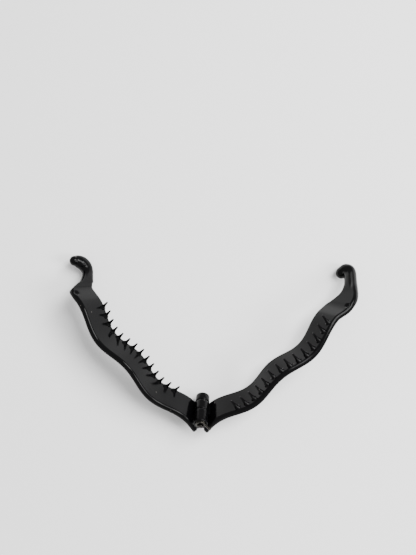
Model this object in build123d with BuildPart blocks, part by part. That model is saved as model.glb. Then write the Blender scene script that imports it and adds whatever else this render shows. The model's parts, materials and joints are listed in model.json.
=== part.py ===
"""Banana hair clip: two wavy comb arms on a sprung hinge, with hooks that clasp at the tips.

Units are millimetres and degrees. The clip lies open on a table: it stands on its hinge end and
on the two hooks, and its arms arch up between them. The origin is under the middle of its
bounding box, +Z is up, +X runs across the opening and +Y points out of the mouth of the V.

Each arm is laid out in its own frame: p runs out along the arm from the hinge axis, q runs along
the hinge axis towards the table, and r points from the arm's comb face towards the other arm.
"""

import os
from math import cos, pi, radians, sin

from build123d import *

os.makedirs("parts", exist_ok=True)

# How the clip stands
OPENING = 106.4  # between the two arms at rest, on the spring's stop
REST_TILT = 39.94  # hinge axis below the horizontal
REST_ROLL = 0.75  # one hook is longer than the other, so the clip leans a little
HINGE_POSITION = (-0.85, -39.34, 11.20)

# Arm: a strip that curves in its own plane and waves across it
ARM_WIDTH = 16.5
ARM_THICKNESS = 3.7
EDGE_RADIUS = 1.3
ROOT_REACH = 3.4  # the centre line starts this far ahead of the hinge axis
ROOT_HEADING = 12.3
TIP_HEADING = 46.4
ROOT_STRAIGHT = 17.2
BEND_RADIUS = 121.0
FACE_OFFSET = 6.4  # mean distance from the comb face out to the hinge axis
WAVE_LENGTH = 41.8
WAVE_HEIGHT = 2.25
WAVE_PHASE = 66.0
STRIP_LENGTH = 95.0
STRIP_OVERRUN = 13.0  # stretch behind the centre line's start, trimmed square to the arm
HEEL = 3.2  # how far the trimmed end stands behind the hinge axis
SECTION_STEP = 5.0

# Teeth: one row on each arm, near opposite edges so that the rows pass when the clip shuts
TOOTH_COUNT = 14
TOOTH_PITCH = 5.22
TOOTH_FLARE = 2.3  # height of the wide foot under the spike
TOOTH_FOOT_RADIUS = 1.5
TOOTH_SPIKE_RADIUS = 0.75
TOOTH_TIP_RADIUS = 0.35
TOOTH_SINK = 0.6  # how deep the foot stands in the strip
# Each row: its first tooth along the strip, its place across the strip, and the teeth's height
LEFT_ROW = (13.9, 6.4, 4.9)
RIGHT_ROW = (15.4, -5.0, 6.2)

# Hinge
PIN_RADIUS = 1.1
PIN_CLEARANCE = 0.05
KNUCKLE_RADIUS = 3.8
TOP_KNUCKLE = (5.0, 10.6)
MIDDLE_KNUCKLE = (-1.7, 4.7)
LOWER_KNUCKLE = (-10.6, -2.0)
PIN_SPAN = (-12.6, 7.4)
PIN_CHAMFER = 0.2
WEB_HALF = 2.2
WEB_FOOT = -6.4
WEB_LIMITS = (-8.4, 7.4)  # the webs stay on the strip, though the end knuckles overhang it

# Torsion spring: its coil stands in the lower knuckle's mouth and its end shows below it
WIRE_RADIUS = 0.55
COIL_RADIUS = 2.35
COIL_START = -7.2
COIL_PITCH = 1.25
COIL_FULL_TURNS = 3
SPRING_POCKET = 4.3  # the mouth's depth
SPRING_POCKET_RADIUS = 3.1
WIRE_CLEARANCE = 0.12
LEFT_LEG_END = -4.4
RIGHT_LEG_DEPTH = -6.3
RIGHT_LEG_END = -5.9
LEG_BEND = 1.2
END_CLEARANCE = 0.3  # between a leg's end and the bottom of its slot or hole

# Hooks
HOOK_RADIUS = 2.85
HOOK_DEPTH = -8.1  # r of the hook's centre line
HOOK_BENDS = [8.0, 3.1, 3.1]
SHOULDER_CORNER = 1.0
LEFT_HOOK = [(79.0, 41.5), (85.4, 51.0), (86.6, 66.6), (94.8, 68.0), (96.2, 63.8)]
RIGHT_HOOK = [(88.4, 42.0), (96.8, 49.5), (98.4, 74.0), (92.1, 74.2), (91.7, 69.4)]
LEFT_SHOULDER = [(84, 36), (90, 38), (90.6, 41), (89.4, 46), (87, 52), (83, 52), (76, 44)]
RIGHT_SHOULDER = [(84, 31), (92.6, 35.6), (97.2, 39.4), (99.6, 44), (99.9, 52), (94.6, 57), (89.6, 50.4), (78, 45.6)]

tilt, roll = radians(REST_TILT), radians(REST_ROLL)
CLIP = Plane(
    origin=HINGE_POSITION,
    x_dir=(cos(roll), 0, sin(roll)),
    z_dir=(-cos(tilt) * sin(roll), sin(tilt), cos(tilt) * cos(roll)),
)


def arm_plane(turn):
    """The clip's plane turned about the hinge axis, so that x runs out along one arm."""
    x_axis = CLIP.from_local_coords(Vector(cos(radians(turn)), 0, sin(radians(turn))))
    z_axis = CLIP.from_local_coords(Vector(-sin(radians(turn)), 0, cos(radians(turn))))
    return Plane(origin=CLIP.origin, x_dir=x_axis - CLIP.origin, z_dir=z_axis - CLIP.origin)


# On the left arm's plane, local z points away from the other arm, so r changes sign there.
ARMS = {
    "left": (arm_plane(90 + OPENING / 2), -1),
    "right": (arm_plane(90 - OPENING / 2), 1),
}


def arm_point(side, p, q, r):
    """A point of one arm's frame, in the row frame."""
    plane, sign = ARMS[side]
    return plane.from_local_coords(Vector(p, q, sign * r))


def arm_direction(side, p, q, r):
    """A direction of one arm's frame, in the row frame."""
    return arm_point(side, p, q, r) - arm_point(side, 0, 0, 0)


def heading(s):
    """The strip's direction in its plane, in radians, a length s along its centre line."""
    turned = max(s - ROOT_STRAIGHT, 0) / BEND_RADIUS
    return min(radians(ROOT_HEADING) + turned, radians(TIP_HEADING))


def centre(s):
    """The centre line's p and q: a straight, an arc, and a straight."""
    start, end = radians(ROOT_HEADING), heading(s)
    first = min(s, ROOT_STRAIGHT)
    last = max(s - ROOT_STRAIGHT - BEND_RADIUS * (end - start), 0)
    p = ROOT_REACH + first * cos(start) + BEND_RADIUS * (sin(end) - sin(start)) + last * cos(end)
    q = first * sin(start) + BEND_RADIUS * (cos(start) - cos(end)) + last * sin(end)
    return p, q


def face(s):
    """The comb face's r, a sine wave along the strip."""
    return -FACE_OFFSET + WAVE_HEIGHT * sin(2 * pi * s / WAVE_LENGTH + radians(WAVE_PHASE))


def strip_point(side, s, w, r):
    """A point s along the strip, w across it towards the table, at height r."""
    p, q = centre(s)
    return arm_point(side, p - w * sin(heading(s)), q + w * cos(heading(s)), r)


def section_plane(side, s):
    """The plane square to the centre line, on the middle of the strip's thickness."""
    turn = heading(s)
    return Plane(
        origin=strip_point(side, s, 0, face(s) - ARM_THICKNESS / 2),
        x_dir=arm_direction(side, -sin(turn), cos(turn), 0),
        z_dir=arm_direction(side, cos(turn), sin(turn), 0),
    )


def tooth_planes(side, row, lift):
    """Planes along one row of teeth, lifted off the comb face, with z along each tooth."""
    first, across, _ = row
    planes = []
    for i in range(TOOTH_COUNT):
        s = first + i * TOOTH_PITCH
        foot = strip_point(side, s, across, face(s) + lift)
        planes.append(Plane(origin=foot, z_dir=arm_direction(side, 0, 0, 1)))
    return planes


def hinge_plane(side, q):
    """A plane across the hinge axis at q, with x along the arm."""
    return Plane(
        origin=arm_point(side, 0, q, 0),
        x_dir=arm_direction(side, 1, 0, 0),
        z_dir=arm_direction(side, 0, 1, 0),
    )


def flat_plane(side, r):
    """A plane parallel to the arm at height r, with x and y along p and q."""
    return Plane(
        origin=arm_point(side, 0, 0, r),
        x_dir=arm_direction(side, 1, 0, 0),
        z_dir=arm_direction(side, 1, 0, 0).cross(arm_direction(side, 0, 1, 0)),
    )


def add_strip(side):
    """The wavy strip, trimmed square behind the hinge."""
    count = round((STRIP_LENGTH + STRIP_OVERRUN) / SECTION_STEP)
    sections = []
    for i in range(count + 1):
        s = -STRIP_OVERRUN + i * (STRIP_LENGTH + STRIP_OVERRUN) / count
        with BuildSketch(section_plane(side, s)) as section:
            RectangleRounded(ARM_WIDTH, ARM_THICKNESS, EDGE_RADIUS)
        sections.append(section.sketch)
    loft(sections)
    heel = Plane(origin=arm_point(side, -HEEL, 0, 0), z_dir=arm_direction(side, 1, 0, 0))
    split(bisect_by=heel, keep=Keep.TOP)


def add_teeth(side, row):
    """The row of teeth, each a flared foot with a slender spike on it."""
    with Locations(*tooth_planes(side, row, -TOOTH_SINK)):
        Cone(
            TOOTH_FOOT_RADIUS,
            TOOTH_SPIKE_RADIUS,
            TOOTH_FLARE + TOOTH_SINK,
            align=(Align.CENTER, Align.CENTER, Align.MIN),
        )
    with Locations(*tooth_planes(side, row, TOOTH_FLARE)):
        Cone(
            TOOTH_SPIKE_RADIUS,
            TOOTH_TIP_RADIUS,
            row[2] - TOOTH_FLARE,
            align=(Align.CENTER, Align.CENTER, Align.MIN),
        )


def add_hook(side, shoulder, route):
    """The shoulder plate at the strip's end, and the round hook that curls out of it."""
    with BuildSketch(flat_plane(side, HOOK_DEPTH)) as outline:
        with BuildLine():
            Polyline(*shoulder, close=True)
        make_face()
        fillet(outline.vertices(), SHOULDER_CORNER)
    extrude(outline.sketch, amount=ARM_THICKNESS / 2, both=True)
    points = [arm_point(side, p, q, HOOK_DEPTH) for p, q in route]
    with BuildLine() as path:
        FilletPolyline(*points, radius=HOOK_BENDS)
    with BuildSketch(Plane(origin=path.line @ 0, z_dir=path.line % 0)) as rod:
        Circle(HOOK_RADIUS)
    sweep(rod.sketch, path=path.line)
    with Locations(path.line @ 1):
        Sphere(HOOK_RADIUS)


def add_knuckle(side, span):
    """One hinge knuckle, and the web it stands on."""
    low, high = span
    web_low, web_high = max(low, WEB_LIMITS[0]), min(high, WEB_LIMITS[1])
    _, sign = ARMS[side]
    with BuildSketch(hinge_plane(side, low)) as barrel:
        Circle(KNUCKLE_RADIUS)
    extrude(barrel.sketch, amount=high - low)
    with BuildSketch(hinge_plane(side, web_low)) as web:
        # On this plane, local y runs against r on the right arm and along it on the left.
        with Locations((0, -sign * WEB_FOOT / 2)):
            Rectangle(2 * WEB_HALF, -WEB_FOOT)
    extrude(web.sketch, amount=web_high - web_low)


def bore(side, span, radius):
    """A round hole on the hinge axis."""
    low, high = span
    with BuildSketch(hinge_plane(side, low)) as hole:
        Circle(radius)
    extrude(hole.sketch, amount=high - low, mode=Mode.SUBTRACT)


def add_wire(points, radius, bend=None, mode=Mode.ADD):
    """A straight or bent run of round wire through some points."""
    with BuildLine() as run:
        if bend:
            FilletPolyline(*points, radius=bend)
        else:
            Line(*points)
    with BuildSketch(Plane(origin=run.line @ 0, z_dir=run.line % 0)) as round_end:
        Circle(radius)
    sweep(round_end.sketch, path=run.line, mode=mode)


coil_end = COIL_START - COIL_PITCH * (COIL_FULL_TURNS + OPENING / 360)
left_leg = [arm_point("left", COIL_RADIUS, COIL_START, r) for r in (LEFT_LEG_END, 0)]
right_leg = [
    arm_point("right", COIL_RADIUS, coil_end, 0),
    arm_point("right", COIL_RADIUS, coil_end, RIGHT_LEG_DEPTH),
    arm_point("right", COIL_RADIUS, RIGHT_LEG_END, RIGHT_LEG_DEPTH),
]
slot_start = arm_point("left", COIL_RADIUS, COIL_START, LEFT_LEG_END - END_CLEARANCE)
hole_end = arm_point("right", COIL_RADIUS, RIGHT_LEG_END + END_CLEARANCE, RIGHT_LEG_DEPTH)

with BuildPart() as left_arm:
    add_strip("left")
    add_hook("left", LEFT_SHOULDER, LEFT_HOOK)
    add_teeth("left", LEFT_ROW)
    add_knuckle("left", TOP_KNUCKLE)
    add_knuckle("left", LOWER_KNUCKLE)
    bore("left", (LOWER_KNUCKLE[0], PIN_SPAN[1]), PIN_RADIUS)
    bore("left", (LOWER_KNUCKLE[0], LOWER_KNUCKLE[0] + SPRING_POCKET), SPRING_POCKET_RADIUS)
    add_wire((slot_start, left_leg[1]), WIRE_RADIUS + WIRE_CLEARANCE, mode=Mode.SUBTRACT)
left_arm.part.label = "left_arm"
export_step(left_arm.part, "parts/left_arm.step")

with BuildPart() as right_arm:
    add_strip("right")
    add_hook("right", RIGHT_SHOULDER, RIGHT_HOOK)
    add_teeth("right", RIGHT_ROW)
    add_knuckle("right", MIDDLE_KNUCKLE)
    bore("right", MIDDLE_KNUCKLE, PIN_RADIUS + PIN_CLEARANCE)
    add_wire((right_leg[1], hole_end), WIRE_RADIUS + WIRE_CLEARANCE, mode=Mode.SUBTRACT)
right_arm.part.label = "right_arm"
export_step(right_arm.part, "parts/right_arm.step")

with BuildPart() as hinge_pin:
    with BuildSketch(hinge_plane("left", PIN_SPAN[0])) as shank:
        Circle(PIN_RADIUS)
    extrude(shank.sketch, amount=PIN_SPAN[1] - PIN_SPAN[0])
    chamfer(hinge_pin.edges().filter_by(GeomType.CIRCLE), PIN_CHAMFER)
hinge_pin.part.label = "hinge_pin"
export_step(hinge_pin.part, "parts/hinge_pin.step")

# The coil runs from the right arm's leg round and up to the left arm's.
coil = Helix(COIL_PITCH, COIL_START - coil_end, COIL_RADIUS, lefthand=True)
coil = hinge_plane("right", coil_end) * coil

with BuildPart() as torsion_spring:
    with BuildSketch(Plane(origin=coil @ 0, z_dir=coil % 0)) as wire:
        Circle(WIRE_RADIUS)
    sweep(wire.sketch, path=coil, is_frenet=True)
    with Locations(coil @ 0, coil @ 1):
        Sphere(WIRE_RADIUS)
    add_wire(left_leg, WIRE_RADIUS)
    add_wire(right_leg, WIRE_RADIUS, bend=LEG_BEND)
torsion_spring.part.label = "torsion_spring"
export_step(torsion_spring.part, "parts/torsion_spring.step")
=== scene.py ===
"""An open banana hair clip in glossy black plastic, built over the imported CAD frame.

Every size is in millimetres until ArmFrame.place or ClipFrame.place turns it into metres of the
row frame. On each arm p runs out along the arm from the hinge axis, q runs along the hinge axis
towards the table, and r points from the comb face towards the other arm.
"""

import json
import logging
from dataclasses import dataclass, field
from enum import Enum
from typing import Union

import bpy
import numpy as np
from mathutils import Matrix, Vector


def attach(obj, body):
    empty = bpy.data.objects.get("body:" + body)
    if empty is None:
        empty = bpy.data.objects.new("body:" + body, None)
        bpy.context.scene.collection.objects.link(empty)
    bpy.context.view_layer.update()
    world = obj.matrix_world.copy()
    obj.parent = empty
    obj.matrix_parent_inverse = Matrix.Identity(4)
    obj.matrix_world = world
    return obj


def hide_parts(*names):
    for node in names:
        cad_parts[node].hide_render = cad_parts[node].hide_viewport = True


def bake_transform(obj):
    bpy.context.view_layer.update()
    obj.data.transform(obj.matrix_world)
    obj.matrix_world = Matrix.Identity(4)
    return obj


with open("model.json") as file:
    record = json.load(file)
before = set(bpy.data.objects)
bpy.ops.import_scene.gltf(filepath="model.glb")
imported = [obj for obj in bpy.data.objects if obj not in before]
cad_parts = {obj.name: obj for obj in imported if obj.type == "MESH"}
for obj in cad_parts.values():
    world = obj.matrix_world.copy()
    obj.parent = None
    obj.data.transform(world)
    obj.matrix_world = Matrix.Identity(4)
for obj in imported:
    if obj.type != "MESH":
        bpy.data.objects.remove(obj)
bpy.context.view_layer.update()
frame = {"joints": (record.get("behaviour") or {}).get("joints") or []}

log = logging.getLogger("hair_clip")

MM = 0.001
REST_ROLL = 0.75  # degrees the clip leans over, because one hook is longer
HALF_OPENING = 53.2  # degrees from the middle of the open mouth to either arm
QUARTER = np.pi / 2

Operand = Union[bpy.types.NodeSocket, float]


class Side(Enum):
    """Which arm a piece belongs to; the value is also its CAD body."""

    LEFT = "left"
    RIGHT = "right"


class Slot(Enum):
    """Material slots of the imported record."""

    PLASTIC = "black_plastic"
    PIN = "pin_steel"
    SPRING = "spring_steel"


# ---------------------------------------------------------------- coordinates


@dataclass(frozen=True)
class ArmFrame:
    """One arm's axes in the row frame."""

    origin: np.ndarray
    p_axis: np.ndarray
    q_axis: np.ndarray
    r_axis: np.ndarray

    def place(self, p: np.ndarray, q: np.ndarray, r: np.ndarray) -> np.ndarray:
        """Turn arm coordinates into the row frame.

        Args:
            p, q, r: arrays of one shape, in millimetres.
        Returns:
            Points in metres, with a last axis of three.
        """
        p, q, r = np.broadcast_arrays(p, q, r)
        p, q, r = p[..., None], q[..., None], r[..., None]
        return self.origin + MM * (p * self.p_axis + q * self.q_axis + r * self.r_axis)


@dataclass(frozen=True)
class ClipFrame:
    """The hinge and the two arms' directions."""

    origin: np.ndarray
    across: np.ndarray
    axis: np.ndarray
    up: np.ndarray

    @classmethod
    def from_joint(cls, joint: dict) -> "ClipFrame":
        """Take the hinge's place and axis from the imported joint, and add the clip's lean.

        Args:
            joint: the hinge's entry in the frame.
        Returns:
            Axes that are at right angles, with across as near level as the lean allows.
        """
        axis = np.array(joint["axis"], float)
        axis /= np.linalg.norm(axis)
        roll = np.radians(REST_ROLL)
        across = np.array([np.cos(roll), 0.0, np.sin(roll)])
        across -= axis * (across @ axis)
        across /= np.linalg.norm(across)
        return cls(np.array(joint["pos_m"], float), across, axis, np.cross(across, axis))

    def arm(self, side: Side) -> ArmFrame:
        """The frame of one arm at rest."""
        way = -1.0 if side is Side.LEFT else 1.0
        lean = np.radians(90 - HALF_OPENING)
        p_axis = way * np.cos(lean) * self.across + np.sin(lean) * self.up
        r_axis = -way * np.sin(lean) * self.across + np.cos(lean) * self.up
        return ArmFrame(self.origin, p_axis, self.axis, r_axis)


# ---------------------------------------------------------------- meshes


def grid_faces(rows: int, columns: int, closed_rows: bool) -> np.ndarray:
    """Quads of a grid whose columns always join up and whose rows join up if asked.

    Args:
        rows, columns: size of the grid.
        closed_rows: whether the last row joins the first.
    Returns:
        Four point numbers for each face.
    """
    i = np.arange(rows if closed_rows else rows - 1)[:, None]
    j = np.arange(columns)[None, :]
    after_i, after_j = (i + 1) % rows, (j + 1) % columns
    here, there = i * columns, after_i * columns
    corners = (here + j, here + after_j, there + after_j, there + j)
    return np.stack(np.broadcast_arrays(*corners), -1).reshape(-1, 4)


def cap_faces(rows: int, columns: int) -> list[list[int]]:
    """A polygon over the first ring and one over the last."""
    last = (rows - 1) * columns
    return [list(range(columns))[::-1], list(range(last, last + columns))]


def signed_volume(points: np.ndarray, quads: np.ndarray) -> float:
    """Volume by the divergence theorem: a sixth of the sum of a . (b x c) over the triangles."""
    a, b, c, d = (points[quads[:, k]] for k in range(4))
    total = (a * np.cross(b, c)).sum() + (a * np.cross(c, d)).sum()
    return float(total) / 6


@dataclass
class Surface:
    """Closed grids gathered into one mesh."""

    points: list = field(default_factory=list)
    faces: list = field(default_factory=list)
    count: int = 0

    def add(self, grid: np.ndarray, closed_rows: bool = False) -> None:
        """Add one tube-like grid, closed with a polygon at both ends or joined into a ring.

        Args:
            grid: points of shape (rows, columns, 3); the columns go round.
            closed_rows: whether the last row joins the first.
        """
        rows, columns, _ = grid.shape
        points = grid.reshape(-1, 3)
        quads = grid_faces(rows, columns, closed_rows)
        middle = points.mean(0)
        faces = quads.tolist() + ([] if closed_rows else cap_faces(rows, columns))
        if signed_volume(points - middle, quads) < 0:
            faces = [face[::-1] for face in faces]
        self.faces += [[v + self.count for v in face] for face in faces]
        self.points.append(points)
        self.count += len(points)

    def build(
        self, name: str, material: bpy.types.Material, sharp: float = 50.0
    ) -> bpy.types.Object:
        """Make the object.

        Args:
            name: the piece's name.
            material: its only material.
            sharp: edges above this many degrees stay sharp.
        Returns:
            The new object, at the origin.
        """
        mesh = bpy.data.meshes.new(name)
        mesh.from_pydata(np.concatenate(self.points).tolist(), [], self.faces)
        mesh.materials.append(material)
        mesh.polygons.foreach_set("use_smooth", np.ones(len(mesh.polygons), bool))
        mesh.set_sharp_from_angle(angle=np.radians(sharp))
        mesh.validate()
        piece = bpy.data.objects.new(name, mesh)
        bpy.context.scene.collection.objects.link(piece)
        return piece


@dataclass(frozen=True)
class Section:
    """A rounded rectangle as multipliers, so that one outline serves every size.

    The steps are the points on each corner, and on the inside of each wide and each thin side.
    """

    corner_steps: int = 7
    wide_steps: int = 44
    thin_steps: int = 4

    def outline(self) -> tuple[np.ndarray, ...]:
        """Walk round the outline from the middle of one thin side.

        Each point is a place on the inner rectangle, between -1 and 1 both ways, plus a unit
        direction that the corner radius multiplies.

        Returns:
            inner x, inner y, direction x, direction y.
        """
        quarter = np.linspace(0, QUARTER, self.corner_steps)
        wide = np.linspace(1, -1, self.wide_steps + 2)[1:-1]
        thin = np.linspace(1, -1, self.thin_steps + 2)[1:-1]
        parts = []
        signs = ((1, 1), (-1, 1), (-1, -1), (1, -1))
        for k, (sx, sy) in enumerate(signs):
            turn = quarter + k * QUARTER
            parts.append((np.full_like(turn, sx), np.full_like(turn, sy), turn))
            run = wide if k % 2 == 0 else thin
            flat = np.full_like(run, (k + 1) * QUARTER)
            along = run * (1 if k < 2 else -1)
            level = np.full_like(run, sy if k % 2 == 0 else sx)
            parts.append((along, level, flat) if k % 2 == 0 else (level, along, flat))
        inner_x, inner_y, turn = (np.concatenate(column) for column in zip(*parts))
        return inner_x, inner_y, np.cos(turn), np.sin(turn)

    def sized(
        self, half_x: np.ndarray, half_y: np.ndarray, corner: np.ndarray
    ) -> tuple[np.ndarray, np.ndarray]:
        """The outline's x and y: inner place times (half size - corner), plus corner times the
        direction."""
        inner_x, inner_y, out_x, out_y = self.outline()
        x = inner_x * (half_x - corner) + corner * out_x
        y = inner_y * (half_y - corner) + corner * out_y
        return x, y


def revolved(profile: np.ndarray, steps: int) -> tuple[np.ndarray, np.ndarray, np.ndarray]:
    """Carry a profile of (radius, height) rows round an axis.

    Args:
        profile: one row for each ring.
        steps: points round a ring.
    Returns:
        Two coordinates across the axis and one along it, each of shape (rows, steps).
    """
    turn = np.arange(steps) * 2 * np.pi / steps
    radius, height = profile[:, :1], profile[:, 1:]
    return radius * np.cos(turn), radius * np.sin(turn), height + 0 * turn


def smooth_run(stations: np.ndarray, steps: int) -> np.ndarray:
    """A cubic curve through every station but the first and last, which only set its direction.

    Between stations b and c, with neighbours a and d, the value at t is the cubic that has the
    slope (c - a) / 2 at b and (d - b) / 2 at c.

    Args:
        stations: one row for each station.
        steps: points from one station to the next.
    Returns:
        Rows from the second station to the last but one.
    """
    t = np.arange(steps)[None, :, None] / steps
    a, b, c, d = (stations[k : len(stations) - 3 + k][:, None, :] for k in range(4))
    cubic = (3 * (b - c) + d - a) * t**3 + (2 * a - 5 * b + 4 * c - d) * t**2
    cubic = cubic + (c - a) * t + 2 * b
    return np.concatenate([(cubic / 2).reshape(-1, stations.shape[1]), stations[-2:-1]])


def tube(path: np.ndarray, radii: np.ndarray, beside: np.ndarray, steps: int = 20) -> np.ndarray:
    """Carry a circle along a path, square to the path's direction.

    Args:
        path: points in metres, one row each.
        radii: one radius per point.
        beside: a direction never along the path, that fixes where the circle starts.
        steps: points round the circle.
    Returns:
        A grid of shape (points, steps, 3).
    """
    along = np.gradient(path, axis=0)
    along /= np.linalg.norm(along, axis=1, keepdims=True)
    out = np.cross(along, beside)
    out /= np.linalg.norm(out, axis=1, keepdims=True)
    over = np.cross(along, out)
    turn = np.arange(steps) * 2 * np.pi / steps
    ring = out[:, None] * np.cos(turn)[:, None] + over[:, None] * np.sin(turn)[:, None]
    return path[:, None] + radii[:, None, None] * ring


def wire_radii(count: int, radius: float, ends: int = 5, start: float = 0.98) -> np.ndarray:
    """A constant radius that closes over both ends like a quarter circle.

    Args:
        count: points along the wire.
        radius: the wire's radius.
        ends: how many points an end takes.
        start: where an end's quarter circle starts, just short of closing.
    Returns:
        One radius for each point.
    """
    radii = np.full(count, radius)
    close = np.sqrt(1 - np.linspace(start, 0, ends) ** 2)
    radii[:ends] *= close
    radii[-ends:] *= close[::-1]
    return radii


# ---------------------------------------------------------------- finishes


@dataclass(frozen=True)
class PlasticFinish:
    """Glossy moulded plastic."""

    colour: tuple = (0.0014, 0.0014, 0.0016, 1.0)
    dust_colour: tuple = (0.16, 0.15, 0.14, 1.0)
    gloss: float = 0.13
    worn: float = 0.30
    specular: float = 0.10
    ior: float = 1.5
    ripple: float = 0.05
    rubbing: float = 1.0
    dust: float = 0.10
    dust_roughness: float = 0.8
    dust_cover: float = 0.6


@dataclass(frozen=True)
class SteelFinish:
    """Drawn steel wire or pin."""

    colour: tuple = (0.035, 0.033, 0.029, 1.0)
    stain_colour: tuple = (0.012, 0.011, 0.01, 1.0)
    gloss: float = 0.22
    worn: float = 0.45
    ripple: float = 0.1
    rubbing: float = 1.0
    stains: float = 0.35


@dataclass(frozen=True)
class FloorFinish:
    """A matt pale floor."""

    colour: tuple = (0.93, 0.93, 0.93, 1.0)
    roughness: float = 0.9


def new_group(name: str, inputs: dict, outputs: dict) -> bpy.types.NodeTree:
    """A shader node group with named sockets and its two end nodes.

    Args:
        name: the group's name.
        inputs: default float by socket name.
        outputs: socket type by socket name.
    Returns:
        The group, whose end nodes are named in and out.
    """
    group = bpy.data.node_groups.new(name, "ShaderNodeTree")
    for label, value in inputs.items():
        socket = group.interface.new_socket(label, in_out="INPUT", socket_type="NodeSocketFloat")
        socket.default_value = value
    for label, kind in outputs.items():
        group.interface.new_socket(label, in_out="OUTPUT", socket_type=kind)
    group.nodes.new("NodeGroupInput").name = "in"
    group.nodes.new("NodeGroupOutput").name = "out"
    return group


def noise(
    tree: bpy.types.NodeTree,
    scale: float,
    detail: float,
    vector: Union[bpy.types.NodeSocket, None] = None,
) -> bpy.types.NodeSocket:
    """The value of a noise texture on the object's own coordinates, or on a given vector."""
    node = tree.nodes.new("ShaderNodeTexNoise")
    node.inputs["Scale"].default_value = scale
    node.inputs["Detail"].default_value = detail
    if vector is None:
        vector = tree.nodes.new("ShaderNodeTexCoord").outputs["Object"]
    tree.links.new(vector, node.inputs["Vector"])
    return node.outputs["Fac"]


def ramp(
    tree: bpy.types.NodeTree,
    value: bpy.types.NodeSocket,
    limits: tuple[float, float],
    results: tuple[float, float] = (0.0, 1.0),
) -> bpy.types.NodeSocket:
    """Spread a value between two limits evenly over two results."""
    node = tree.nodes.new("ShaderNodeMapRange")
    for label, number in zip(("From Min", "From Max", "To Min", "To Max"), (*limits, *results)):
        node.inputs[label].default_value = number
    tree.links.new(value, node.inputs["Value"])
    return node.outputs["Result"]


def maths(
    tree: bpy.types.NodeTree, kind: str, first: Operand, second: Operand
) -> bpy.types.NodeSocket:
    """The result of one maths node; each operand is a socket or a number."""
    node = tree.nodes.new("ShaderNodeMath")
    node.operation = kind
    for slot, operand in zip(node.inputs, (first, second)):
        if isinstance(operand, bpy.types.NodeSocket):
            tree.links.new(operand, slot)
        else:
            slot.default_value = operand
    return node.outputs[0]


@dataclass
class Effects:
    """The shared node groups. Scales are in cells for each metre."""

    peel_scale: float = 900.0
    flow_scale: float = 90.0
    flow_share: float = 6.0
    bump_distance: float = 0.0001
    speck_scale: float = 330.0
    speck_limits: tuple = (0.14, 0.05)
    patch_scale: float = 55.0
    patch_limits: tuple = (0.45, 0.75)
    patch_share: float = 0.6
    hair_stretch: tuple = (900.0, 40.0, 60.0)
    hair_turn: tuple = (0.0, 0.0, 0.6)
    hair_limits: tuple = (0.66, 0.74)

    def __post_init__(self) -> None:
        """Build each group once."""
        self.moulding = self._moulding()
        self.dust = self._dust()
        self.wear = self._wear()

    def _moulding(self) -> bpy.types.NodeTree:
        """The faint orange peel and flow waves of a moulded skin, as a normal."""
        tree = new_group("MouldedSkin", {"Strength": 0.05}, {"Normal": "NodeSocketVector"})
        peel = noise(tree, self.peel_scale, 2.0)
        flow = maths(tree, "MULTIPLY", noise(tree, self.flow_scale, 1.0), self.flow_share)
        bump = tree.nodes.new("ShaderNodeBump")
        bump.inputs["Distance"].default_value = self.bump_distance
        tree.links.new(tree.nodes["in"].outputs["Strength"], bump.inputs["Strength"])
        tree.links.new(maths(tree, "ADD", peel, flow), bump.inputs["Height"])
        tree.links.new(bump.outputs["Normal"], tree.nodes["out"].inputs["Normal"])
        return tree

    def _dust(self) -> bpy.types.NodeTree:
        """Sparse specks of dust: the middles of a few small cells, as a mask."""
        tree = new_group("DustSpecks", {"Amount": 0.1}, {"Mask": "NodeSocketFloat"})
        cells = tree.nodes.new("ShaderNodeTexVoronoi")
        cells.inputs["Scale"].default_value = self.speck_scale
        coord = tree.nodes.new("ShaderNodeTexCoord").outputs["Object"]
        tree.links.new(coord, cells.inputs["Vector"])
        near = ramp(tree, cells.outputs["Distance"], self.speck_limits)
        split = tree.nodes.new("ShaderNodeSeparateColor")
        tree.links.new(cells.outputs["Color"], split.inputs["Color"])
        amount = tree.nodes["in"].outputs["Amount"]
        chosen = maths(tree, "LESS_THAN", split.outputs["Red"], amount)
        tree.links.new(maths(tree, "MULTIPLY", near, chosen), tree.nodes["out"].inputs["Mask"])
        return tree

    def _wear(self) -> bpy.types.NodeTree:
        """Hazy rubbed patches crossed by fine hairline scratches, as a mask."""
        tree = new_group("RubbedHaze", {"Amount": 0.5}, {"Mask": "NodeSocketFloat"})
        patches = ramp(tree, noise(tree, self.patch_scale, 4.0), self.patch_limits)
        stretch = tree.nodes.new("ShaderNodeMapping")
        stretch.inputs["Scale"].default_value = self.hair_stretch
        stretch.inputs["Rotation"].default_value = self.hair_turn
        coord = tree.nodes.new("ShaderNodeTexCoord").outputs["Object"]
        tree.links.new(coord, stretch.inputs["Vector"])
        hairs = ramp(tree, noise(tree, 1.0, 3.0, stretch.outputs["Vector"]), self.hair_limits)
        faint = maths(tree, "MULTIPLY", patches, self.patch_share)
        both = maths(tree, "MAXIMUM", faint, hairs)
        mask = maths(tree, "MULTIPLY", both, tree.nodes["in"].outputs["Amount"])
        tree.links.new(mask, tree.nodes["out"].inputs["Mask"])
        return tree


def use_group(
    tree: bpy.types.NodeTree, group: bpy.types.NodeTree, socket: str, value: float
) -> bpy.types.NodeSocket:
    """Place a node group, set one of its inputs and give its only output."""
    node = tree.nodes.new("ShaderNodeGroup")
    node.node_tree = group
    node.inputs[socket].default_value = value
    return node.outputs[0]


def blank_material(name: str) -> tuple[bpy.types.Material, bpy.types.NodeTree, bpy.types.Node]:
    """A material with only its Principled node and output."""
    material = bpy.data.materials.new(name)
    material.use_nodes = True
    tree = material.node_tree
    return material, tree, tree.nodes["Principled BSDF"]


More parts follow.
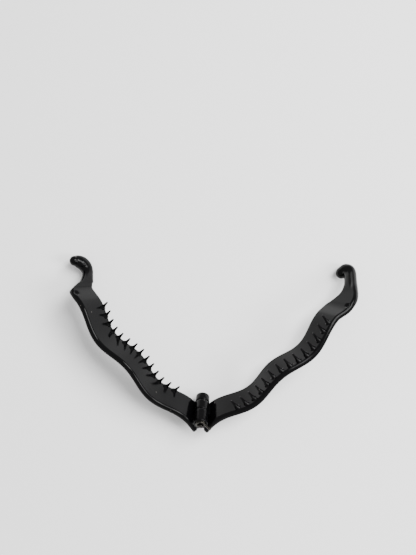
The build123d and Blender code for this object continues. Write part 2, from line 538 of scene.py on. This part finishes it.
def two_tone(
    tree: bpy.types.NodeTree, mask: bpy.types.NodeSocket, low: tuple, high: tuple
) -> bpy.types.NodeSocket:
    """Mix two colours by a mask."""
    mix = tree.nodes.new("ShaderNodeMix")
    mix.data_type = "RGBA"
    ends = [socket for socket in mix.inputs if socket.type == "RGBA"]
    for socket, colour in zip(ends, (low, high)):
        socket.default_value = colour
    tree.links.new(mask, mix.inputs["Factor"])
    return next(socket for socket in mix.outputs if socket.type == "RGBA")


def plastic(name: str, finish: PlasticFinish, effects: Effects) -> bpy.types.Material:
    """Glossy plastic whose roughness rises where it is rubbed and under dust."""
    material, tree, shader = blank_material(name)
    skin = use_group(tree, effects.moulding, "Strength", finish.ripple)
    dust = use_group(tree, effects.dust, "Amount", finish.dust)
    wear = use_group(tree, effects.wear, "Amount", finish.rubbing)
    rubbed = ramp(tree, wear, (0.0, 1.0), (finish.gloss, finish.worn))
    rough = maths(tree, "MAXIMUM", rubbed, maths(tree, "MULTIPLY", dust, finish.dust_roughness))
    tree.links.new(rough, shader.inputs["Roughness"])
    cover = maths(tree, "MULTIPLY", dust, finish.dust_cover)
    colour = two_tone(tree, cover, finish.colour, finish.dust_colour)
    tree.links.new(colour, shader.inputs["Base Color"])
    tree.links.new(skin, shader.inputs["Normal"])
    shader.inputs["IOR"].default_value = finish.ior
    shader.inputs["Specular IOR Level"].default_value = finish.specular
    return material


def steel(name: str, finish: SteelFinish, effects: Effects) -> bpy.types.Material:
    """Dull steel with darker stains where it is rubbed."""
    material, tree, shader = blank_material(name)
    wear = use_group(tree, effects.wear, "Amount", finish.rubbing)
    skin = use_group(tree, effects.moulding, "Strength", finish.ripple)
    stain = maths(tree, "MULTIPLY", wear, finish.stains)
    colour = two_tone(tree, stain, finish.colour, finish.stain_colour)
    tree.links.new(colour, shader.inputs["Base Color"])
    rough = ramp(tree, wear, (0.0, 1.0), (finish.gloss, finish.worn))
    tree.links.new(rough, shader.inputs["Roughness"])
    tree.links.new(skin, shader.inputs["Normal"])
    shader.inputs["Metallic"].default_value = 1.0
    return material


# ---------------------------------------------------------------- the clip


@dataclass(frozen=True)
class StripShape:
    """The wavy strip's centre line and face.

    The headings and the wave's phase are in degrees. The centre line starts at reach from the
    hinge axis, runs straight, bends with the radius bend, and ends straight. The comb face lies
    offset below the axis on average.
    """

    width: float = 16.5
    thickness: float = 3.7
    edge: float = 1.3
    reach: float = 3.4
    root_heading: float = 12.3
    tip_heading: float = 46.4
    straight: float = 17.2
    bend: float = 121.0
    offset: float = 6.4
    wave_length: float = 41.8
    wave_height: float = 2.25
    wave_phase: float = 66.0
    heel: float = 3.2

    def heading(self, s: np.ndarray) -> np.ndarray:
        """Direction at s: constant, rising evenly, then constant, in radians."""
        turned = np.maximum(s - self.straight, 0) / self.bend
        return np.minimum(np.radians(self.root_heading) + turned, np.radians(self.tip_heading))

    def centre(self, s: np.ndarray) -> tuple[np.ndarray, np.ndarray]:
        """The centre line's p and q: a straight, an arc, and a straight."""
        start, end = np.radians(self.root_heading), self.heading(s)
        first = np.minimum(s, self.straight)
        last = np.maximum(s - self.straight - self.bend * (end - start), 0)
        turn_p = self.bend * (np.sin(end) - np.sin(start))
        turn_q = self.bend * (np.cos(start) - np.cos(end))
        p = self.reach + first * np.cos(start) + turn_p + last * np.cos(end)
        q = first * np.sin(start) + turn_q + last * np.sin(end)
        return p, q

    def face(self, s: np.ndarray) -> np.ndarray:
        """The comb face's r: a sine wave along s."""
        turn = 2 * np.pi * s / self.wave_length + np.radians(self.wave_phase)
        return -self.offset + self.wave_height * np.sin(turn)

    def point(self, s: np.ndarray, w: np.ndarray) -> tuple[np.ndarray, np.ndarray]:
        """p and q of a point s along the strip and w across it."""
        p, q = self.centre(s)
        return p - w * np.sin(self.heading(s)), q + w * np.cos(self.heading(s))


@dataclass(frozen=True)
class Hollow:
    """A soft hollow in the comb face: its place, its heading in degrees, its spans and depth."""

    p: float
    q: float
    heading: float
    length: float
    width: float
    depth: float

    def drop(self, p: np.ndarray, q: np.ndarray) -> np.ndarray:
        """Depth at a point: a bell across, and a flatter bell of the fourth power along."""
        turn = np.radians(self.heading)
        along = (p - self.p) * np.cos(turn) + (q - self.q) * np.sin(turn)
        across = (q - self.q) * np.cos(turn) - (p - self.p) * np.sin(turn)
        return self.depth * np.exp(-((along / self.length) ** 4) - (across / self.width) ** 2)


@dataclass
class Shell:
    """The strip, its shoulder and its hook as one closed skin.

    Each station of the hook is p, q, heading in degrees, half width, half thickness, corner
    radius and the middle's r.
    """

    side: Side
    arm: ArmFrame
    stations: list
    hollows: list
    strip: StripShape = StripShape()
    strip_end: float = 88.0
    lead_in: float = 4.0
    ring_step: float = 0.55
    square_root: float = 14.0
    heel_round: float = 1.9
    heel_shares: tuple = (1.0, 0.45, 0.3)
    heel_gap: float = 0.1
    hook_steps: int = 16
    fullest_corner: float = 0.995
    cap_rings: int = 9
    cap_end: float = 0.02
    section: Section = Section()

    def _strip_rings(self) -> np.ndarray:
        """Rings of (s, p, q, heading, half width, half thickness, corner radius).

        From the heel on, the rings turn from square to the arm to square to the centre line, by
        a smooth step along s. The first few shrink like a quarter circle to round the heel.
        """
        shape = self.strip
        start = (-shape.heel - shape.reach) / np.cos(np.radians(shape.root_heading))
        s = np.linspace(start, self.strip_end, int((self.strip_end - start) / self.ring_step))
        t = np.clip((s - start) / self.square_root, 0, 1)
        settled = t * t * (3 - 2 * t)
        true_heading = shape.heading(s)
        turned = true_heading * settled
        half = shape.width / 2 / np.cos(true_heading - turned)
        thick = np.full_like(s, shape.thickness / 2)
        corner = np.full_like(s, shape.edge)
        rings = np.stack([s, *shape.centre(s), turned, half, thick, corner], 1)
        turn = np.linspace(0, QUARTER, self.cap_rings)
        ends = np.repeat(rings[:1], self.cap_rings, 0)
        back = self.heel_round * (1 - np.sin(turn))
        ends[:, 1] += back
        ends[:, 2] += back * np.tan(np.radians(shape.root_heading))
        ends[:, 0] += back / np.cos(np.radians(shape.root_heading))
        inset = self.heel_round * (1 - np.cos(turn))
        ends[:, 4:7] -= inset[:, None] * np.array(self.heel_shares)
        keep = rings[rings[:, 1] > ends[0, 1] + self.heel_gap]
        return np.concatenate([ends[::-1], keep])

    def _hook_rings(self) -> np.ndarray:
        """Rings of (p, q, heading, half width, half thickness, corner radius, middle's r).

        They follow a smooth run through the stations, and a quarter circle closes the tip.
        """
        shape = self.strip
        s = np.array([self.strip_end - self.lead_in, self.strip_end])
        p, q = shape.centre(s)
        middle = shape.face(s) - shape.thickness / 2
        half = np.full(2, shape.width / 2)
        thick = np.full(2, shape.thickness / 2)
        edge = np.full(2, shape.edge)
        first = np.stack([p, q, shape.heading(s), half, thick, edge, middle], 1)
        later = np.array(self.stations, float)
        later[:, 2] = np.radians(later[:, 2])
        beyond = 2 * later[-1:] - later[-2:-1]
        run = smooth_run(np.concatenate([first, later, beyond]), self.hook_steps)[1:]
        fullest = self.fullest_corner * np.minimum(run[:, 3], run[:, 4])
        run[:, 5] = np.minimum(run[:, 5], fullest)
        turn = np.linspace(0, QUARTER, self.cap_rings + 1)[1:]
        cap = np.repeat(run[-1:], self.cap_rings, 0)
        reach = cap[:, 3] * np.sin(turn)
        cap[:, 0] += reach * np.cos(cap[:, 2])
        cap[:, 1] += reach * np.sin(cap[:, 2])
        cap[:, 3:6] *= np.maximum(np.cos(turn), self.cap_end)[:, None]
        return np.concatenate([run, cap])

    def _skin(self) -> np.ndarray:
        """Put the outline round every ring, across it and through its thickness, then press the
        hollows into the side that faces the other arm."""
        shape = self.strip
        s, p0, q0, turn, half, thick, corner = (c[:, None] for c in self._strip_rings().T)
        x, y = self.section.sized(half, thick, corner)
        middle = shape.face(s + x * np.sin(shape.heading(s) - turn)) - shape.thickness / 2
        strip = (p0 - x * np.sin(turn), q0 + x * np.cos(turn), middle + y)
        p0, q0, turn, half, thick, corner, middle = (c[:, None] for c in self._hook_rings().T)
        x, y = self.section.sized(half, thick, corner)
        hook = (p0 - x * np.sin(turn), q0 + x * np.cos(turn), middle + y)
        p, q, r = (np.concatenate(pair) for pair in zip(strip, hook))
        facing = np.clip(self.section.outline()[3], 0, 1) ** 2
        for hollow in self.hollows:
            r = r - facing * hollow.drop(p, q)
        return self.arm.place(p, q, r)

    def build(self, material: bpy.types.Material) -> bpy.types.Object:
        """Build the skin as one piece."""
        surface = Surface()
        surface.add(self._skin())
        return surface.build(f"{self.side.value}_shell", material)


@dataclass
class TeethRow:
    """A row of thorn-shaped teeth with flared feet.

    The first tooth stands at first along the strip, and the row runs across off its middle.
    """

    side: Side
    arm: ArmFrame
    first: float
    across: float
    height: float
    count: int = 14
    pitch: float = 5.22
    sink: float = 0.7
    foot: float = 0.9
    spike: float = 0.92
    tip: float = 0.42
    flare: float = 0.75
    deepest_flare: float = -0.1
    cap_end: float = 0.03
    cap_rings: int = 7
    rise: int = 22
    steps: int = 28
    strip: StripShape = StripShape()

    def _profile(self) -> np.ndarray:
        """Radius = spike tapering evenly to the tip, plus a foot that dies away exponentially;
        the top closes over a quarter circle."""
        h = np.linspace(-self.sink, self.height - self.tip, self.rise)
        along = np.clip(h, 0, None) / self.height
        taper = self.spike + (self.tip - self.spike) * along
        radius = taper + self.foot * np.exp(-np.maximum(h, self.deepest_flare) / self.flare)
        turn = np.linspace(0, QUARTER, self.cap_rings)[1:]
        closing = radius[-1] * np.maximum(np.cos(turn), self.cap_end)
        cap = np.stack([closing, h[-1] + self.tip * np.sin(turn)], 1)
        return np.concatenate([np.stack([radius, h], 1), cap])

    def build(self, material: bpy.types.Material) -> bpy.types.Object:
        """Stand one tooth on each point of the row."""
        surface = Surface()
        across_p, across_q, up = revolved(self._profile(), self.steps)
        s = self.first + self.pitch * np.arange(self.count)
        p, q = self.strip.point(s, np.full_like(s, self.across))
        r = self.strip.face(s)
        for foot_p, foot_q, foot_r in zip(p, q, r):
            surface.add(self.arm.place(foot_p + across_p, foot_q + across_q, foot_r + up))
        return surface.build(f"{self.side.value}_teeth", material)


@dataclass
class Knuckles:
    """The barrel's knuckles of one arm, each on a flared web.

    Each span is a knuckle's low and high q. On the arm that holds the spring the first knuckle
    is domed, and the others have a wider pocket at the low end.
    """

    side: Side
    arm: ArmFrame
    spans: list
    bore: float
    holds_spring: bool
    pocket: float = 3.1
    pocket_depth: float = 4.3
    radius: float = 3.95
    edge: float = 0.55
    edge_rings: int = 7
    side_rings: int = 6
    lip: float = 0.2
    crown: float = 1.5
    crown_power: float = 0.7
    crown_end: float = 0.02
    crown_rings: int = 14
    closed_bore: float = 0.05
    web_top: float = 2.2
    web_spread: float = 1.3
    web_head: float = -0.6
    web_foot: float = -6.4
    web_corner: float = 0.7
    web_inset: float = 0.25
    web_rings: int = 16
    web_limits: tuple = (-8.6, 7.6)
    web_section: Section = Section(corner_steps=5, wide_steps=10, thin_steps=10)
    steps: int = 72

    def _low_edge(self, low: float) -> np.ndarray:
        """The rounded edge at a knuckle's low end: a quarter circle outwards."""
        turn = np.linspace(0, QUARTER, self.edge_rings)
        e, out = self.edge, self.radius
        return np.stack([out - e + e * np.sin(turn), low + e - e * np.cos(turn)], 1)

    def _ring_profile(self, low: float, high: float) -> np.ndarray:
        """A bored knuckle: low edge, outside, high edge, the bore, and the pocket if it has one."""
        turn = np.linspace(0, QUARTER, self.edge_rings)
        e, out, lip, mouth = self.edge, self.radius, self.lip, self.pocket
        top = np.stack([out - e + e * np.cos(turn), high - e + e * np.sin(turn)], 1)
        heights = np.linspace(low + e, high - e, self.side_rings + 2)[1:-1]
        middle = np.stack([np.full(self.side_rings, out), heights], 1)
        inside = [(self.bore + lip, high), (self.bore, high - lip)]
        if self.holds_spring:
            floor = low + self.pocket_depth
            inside += [(self.bore, floor), (mouth - lip, floor), (mouth, floor - lip)]
            inside += [(mouth, low + lip), (mouth + lip, low)]
        else:
            inside += [(self.bore, low + lip), (self.bore + lip, low)]
        return np.concatenate([self._low_edge(low), middle, top, np.array(inside)])

    def _dome_profile(self, low: float, high: float) -> np.ndarray:
        """A closed knuckle whose far end is a shallow dome: the radius is a power of the cosine."""
        turn = np.linspace(0, QUARTER, self.crown_rings)
        closing = np.maximum(np.cos(turn), self.crown_end) ** self.crown_power
        heights = high - self.crown + self.crown * np.sin(turn)
        dome = np.stack([self.radius * closing, heights], 1)
        return np.concatenate([[(self.closed_bore, low)], self._low_edge(low), dome])

    def _web(self, low: float, high: float) -> np.ndarray:
        """A rounded block whose half width grows with the square of its depth below the barrel."""
        t = np.linspace(0, 1, self.web_rings)[:, None]
        half_q = (high - low) / 2 - self.web_inset
        half_p = self.web_top + self.web_spread * t**2
        q, p = self.web_section.sized(half_q, half_p, self.web_corner)
        r = self.web_head + (self.web_foot - self.web_head) * t + 0 * p
        return self.arm.place(p, (low + high) / 2 + q, r)

    def build(self, material: bpy.types.Material) -> bpy.types.Object:
        """Revolve the knuckles about the hinge axis and add their webs."""
        surface = Surface()
        for number, (low, high) in enumerate(self.spans):
            domed = self.holds_spring and number == 0
            profile = self._dome_profile(low, high) if domed else self._ring_profile(low, high)
            p, r, q = revolved(profile, self.steps)
            surface.add(self.arm.place(p, q, r), closed_rows=not domed)
            surface.add(self._web(max(low, self.web_limits[0]), min(high, self.web_limits[1])))
        return surface.build(f"{self.side.value}_knuckles", material, sharp=40.0)


@dataclass
class Hardware:
    """The hinge pin and the torsion spring."""

    clip: ClipFrame
    left: ArmFrame
    right: ArmFrame
    pin_radius: float = 1.1
    pin_low: float = -12.6
    pin_high: float = 7.4
    wire: float = 0.55
    coil: float = 2.35
    coil_start: float = -7.2
    pitch: float = 1.25
    turns: int = 3
    left_leg_end: float = -4.4
    right_leg_depth: float = -6.3
    right_leg_end: float = -5.9
    leg_top: float = 0.25
    leg_bend: float = 1.2
    pin_dome: float = 0.35
    pin_dome_end: float = 0.03
    pin_dome_rings: int = 8
    pin_steps: int = 48
    coil_rings: int = 360
    left_leg_rings: int = 24
    right_leg_rings: int = 20
    bend_rings: int = 12

    @property
    def coil_end(self) -> float:
        """q of the coil's last turn."""
        return self.coil_start - self.pitch * (self.turns + 2 * HALF_OPENING / 360)

    def pin(self, material: bpy.types.Material) -> bpy.types.Object:
        """A pin with softly domed ends, turned about the hinge axis."""
        turn = np.linspace(0, QUARTER, self.pin_dome_rings)
        closing = self.pin_radius * np.maximum(np.cos(turn), self.pin_dome_end)
        inset = self.pin_dome * (1 - np.sin(turn))
        low = np.stack([closing[::-1], self.pin_low + inset[::-1]], 1)
        high = np.stack([closing, self.pin_high - inset], 1)
        p, r, q = revolved(np.concatenate([low, high]), self.pin_steps)
        surface = Surface()
        surface.add(self.left.place(p, q, r))
        return surface.build("pin", material)

    def _wire(
        self, name: str, path: np.ndarray, beside: np.ndarray, material: bpy.types.Material
    ) -> bpy.types.Object:
        """One length of the spring's wire along a path, as a piece."""
        surface = Surface()
        surface.add(tube(path, wire_radii(len(path), MM * self.wire), beside))
        return surface.build(name, material)

    def coil_turns(self, material: bpy.types.Material) -> bpy.types.Object:
        """The coil: radius constant, q rising evenly with the angle, from the right leg on."""
        total = 2 * np.pi * self.turns + np.radians(2 * HALF_OPENING)
        t = np.linspace(0, 1, self.coil_rings)
        angle = np.radians(90 - HALF_OPENING) + total * t
        q = self.coil_end + (self.coil_start - self.coil_end) * t
        around = np.cos(angle)[:, None] * self.clip.across + np.sin(angle)[:, None] * self.clip.up
        path = self.clip.origin + MM * (self.coil * around + q[:, None] * self.clip.axis)
        return self._wire("spring_coil", path, self.clip.axis, material)

    def left_leg(self, material: bpy.types.Material) -> bpy.types.Object:
        """The leg that runs straight down from the coil into the lower knuckle's slot."""
        r = np.linspace(self.left_leg_end, self.leg_top, self.left_leg_rings)
        path = self.left.place(np.full_like(r, self.coil), np.full_like(r, self.coil_start), r)
        return self._wire("spring_left_leg", path, self.left.p_axis, material)

    def right_leg(self, material: bpy.types.Material) -> bpy.types.Object:
        """The leg that drops from the coil and turns a quarter circle into the strip's edge."""
        bend, low, count = self.leg_bend, self.coil_end, self.right_leg_rings
        drop = np.linspace(self.leg_top, self.right_leg_depth + bend, count)
        turn = np.linspace(0, QUARTER, self.bend_rings)[1:]
        run = np.linspace(low + bend, self.right_leg_end, count)[1:]
        r_bend = self.right_leg_depth + bend * (1 - np.sin(turn))
        q = np.concatenate([np.full(count, low), low + bend * (1 - np.cos(turn)), run])
        r = np.concatenate([drop, r_bend, np.full(count - 1, self.right_leg_depth)])
        path = self.right.place(np.full_like(q, self.coil), q, r)
        return self._wire("spring_right_leg", path, self.right.p_axis, material)


# ---------------------------------------------------------------- studio


@dataclass(frozen=True)
class Lamp:
    """A rectangular lamp: its place and size in metres, and its power in watts."""

    name: str
    place: tuple
    size: tuple
    power: float


@dataclass
class Studio:
    """Camera, floor and lights, in metres. The camera's axes are its right, up and back."""

    eye: tuple = (0.00279, -0.04245, 0.42522)
    right: tuple = (0.99795, 0.06406, 0.0003)
    up: tuple = (-0.06296, 0.97983, 0.18965)
    back: tuple = (0.01182, -0.18928, 0.98185)
    view_degrees: float = 32.47
    nearest: float = 0.01
    farthest: float = 20.0
    floor_half: float = 3.0
    world_colour: tuple = (1.0, 1.0, 1.0, 1.0)
    world_strength: float = 0.85
    lamps: tuple = (
        Lamp("window", (0.91, -0.17, 0.77), (0.40, 0.55), 12.0),
        Lamp("skylight", (0.56, 0.40, 1.05), (0.55, 0.85), 26.0),
    )

    def camera(self) -> None:
        """A pinhole camera above the clip."""
        data = bpy.data.cameras.new("camera")
        data.sensor_fit = "HORIZONTAL"
        data.angle_x = np.radians(self.view_degrees)
        data.clip_start = self.nearest
        data.clip_end = self.farthest
        viewer = bpy.data.objects.new("camera", data)
        turned = Matrix((self.right, self.up, self.back)).transposed().to_4x4()
        viewer.matrix_world = Matrix.Translation(Vector(self.eye)) @ turned
        bpy.context.scene.collection.objects.link(viewer)
        bpy.context.scene.camera = viewer

    def floor(self, finish: FloorFinish) -> None:
        """One large pale square."""
        h = self.floor_half
        mesh = bpy.data.meshes.new("floor")
        mesh.from_pydata([(-h, -h, 0), (h, -h, 0), (h, h, 0), (-h, h, 0)], [], [(0, 1, 2, 3)])
        material, _, shader = blank_material("floor")
        shader.inputs["Base Color"].default_value = finish.colour
        shader.inputs["Roughness"].default_value = finish.roughness
        shader.inputs["Specular IOR Level"].default_value = 0.0
        mesh.materials.append(material)
        ground = bpy.data.objects.new("floor", mesh)
        bpy.context.scene.collection.objects.link(ground)

    def light(self, lamp: Lamp) -> None:
        """Hang one lamp and aim it at the clip."""
        data = bpy.data.lights.new(lamp.name, "AREA")
        data.shape = "RECTANGLE"
        data.size, data.size_y = lamp.size
        data.energy = lamp.power
        hung = bpy.data.objects.new(lamp.name, data)
        hung.location = lamp.place
        hung.rotation_euler = (-Vector(lamp.place)).to_track_quat("-Z", "Y").to_euler()
        bpy.context.scene.collection.objects.link(hung)

    def build(self) -> None:
        """Set the whole studio up."""
        self.camera()
        self.floor(FloorFinish())
        world = bpy.data.worlds.new("studio")
        bpy.context.scene.world = world
        world.use_nodes = True
        background = world.node_tree.nodes["Background"]
        background.inputs["Color"].default_value = self.world_colour
        background.inputs["Strength"].default_value = self.world_strength
        for lamp in self.lamps:
            self.light(lamp)


LEFT_STATIONS = [
    (86.5, 43.9, 47.5, 8.2, 1.9, 1.3, -7.8),
    (86.7, 46.9, 49.5, 7.3, 2.0, 1.5, -7.9),
    (86.2, 49.7, 52.0, 6.1, 2.2, 1.8, -8.0),
    (85.2, 52.9, 58.0, 4.8, 2.5, 2.3, -8.1),
    (85.1, 56.5, 71.0, 3.75, 2.7, 2.7, -8.1),
    (85.6, 60.1, 78.0, 3.4, 2.85, 2.85, -8.1),
    (86.8, 63.0, 66.0, 3.7, 3.1, 3.1, -7.9),
    (88.9, 65.1, 34.0, 4.1, 3.6, 3.6, -7.6),
    (91.7, 65.9, 4.0, 4.2, 3.7, 3.7, -7.5),
    (94.3, 65.4, -24.0, 3.8, 3.4, 3.4, -7.7),
    (96.1, 64.5, -38.0, 3.0, 3.0, 3.0, -7.9),
]
RIGHT_STATIONS = [
    (86.4, 42.2, 45.6, 9.0, 1.9, 1.3, -7.8),
    (90.1, 44.4, 50.9, 8.3, 1.95, 1.4, -7.9),
    (93.1, 47.1, 55.9, 7.1, 2.1, 1.6, -8.0),
    (94.9, 50.2, 61.9, 5.8, 2.3, 1.9, -8.1),
    (95.9, 53.6, 69.3, 4.8, 2.55, 2.3, -8.1),
    (96.6, 57.7, 80.0, 4.0, 2.75, 2.6, -8.1),
    (97.0, 62.6, 87.0, 3.8, 2.85, 2.75, -8.1),
    (97.1, 66.6, 95.0, 3.9, 2.95, 2.9, -8.1),
    (96.6, 69.8, 122.0, 4.1, 3.4, 3.4, -7.7),
    (94.6, 71.6, 162.0, 4.1, 3.6, 3.6, -7.5),
    (92.2, 71.0, 200.0, 3.6, 3.4, 3.4, -7.6),
]
LEFT_HOLLOWS = [Hollow(90.0, 37.6, 46.0, 1.4, 1.4, 0.9)]
RIGHT_HOLLOWS = [
    Hollow(93.8, 38.9, 50.0, 1.2, 1.2, 0.8),
    Hollow(98.2, 60.5, 86.0, 7.5, 0.8, 0.7),
]


def report(piece: bpy.types.Object) -> None:
    """Log one finished piece."""
    log.info("%s: %d vertices", piece.name, len(piece.data.vertices))


def main() -> None:
    """Build the clip and its studio."""
    logging.basicConfig(level=logging.INFO, format="%(message)s")
    clip = ClipFrame.from_joint(frame["joints"][0])
    left, right = clip.arm(Side.LEFT), clip.arm(Side.RIGHT)
    effects = Effects()
    black = plastic("black_plastic", PlasticFinish(), effects)
    pin_steel = steel("pin_steel", SteelFinish(colour=(0.03, 0.028, 0.026, 1.0)), effects)
    spring_steel = steel("spring_steel", SteelFinish(), effects)

    pieces = [
        Shell(Side.LEFT, left, LEFT_STATIONS, LEFT_HOLLOWS),
        TeethRow(Side.LEFT, left, first=13.9, across=6.4, height=4.9),
        Knuckles(Side.LEFT, left, [(5.0, 10.6), (-10.6, -2.0)], bore=1.12, holds_spring=True),
        Shell(Side.RIGHT, right, RIGHT_STATIONS, RIGHT_HOLLOWS),
        TeethRow(Side.RIGHT, right, first=15.4, across=-5.0, height=6.2),
        Knuckles(Side.RIGHT, right, [(-1.7, 4.7)], bore=1.15, holds_spring=False),
    ]
    for part in pieces:
        piece = part.build(black)
        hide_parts(f"{part.side.value}_arm")
        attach(piece, part.side.value)
        report(piece)

    hardware = Hardware(clip, left, right)
    pin = hardware.pin(pin_steel)
    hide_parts("hinge_pin")
    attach(pin, "left")
    report(pin)

    coil = hardware.coil_turns(spring_steel)
    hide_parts("torsion_spring")
    zero = np.zeros(())
    coil_top = left.place(zero, np.array(hardware.coil_start), zero)
    coil_foot = left.place(zero, np.array(hardware.coil_end), zero)
    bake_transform(coil)
    report(coil)

    legs = {"left": hardware.left_leg(spring_steel), "right": hardware.right_leg(spring_steel)}
    for side, leg in legs.items():
        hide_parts("torsion_spring")
        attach(leg, side)
        report(leg)

    Studio().build()
    log.info("sizes written")


if __name__ == "__main__":
    main()
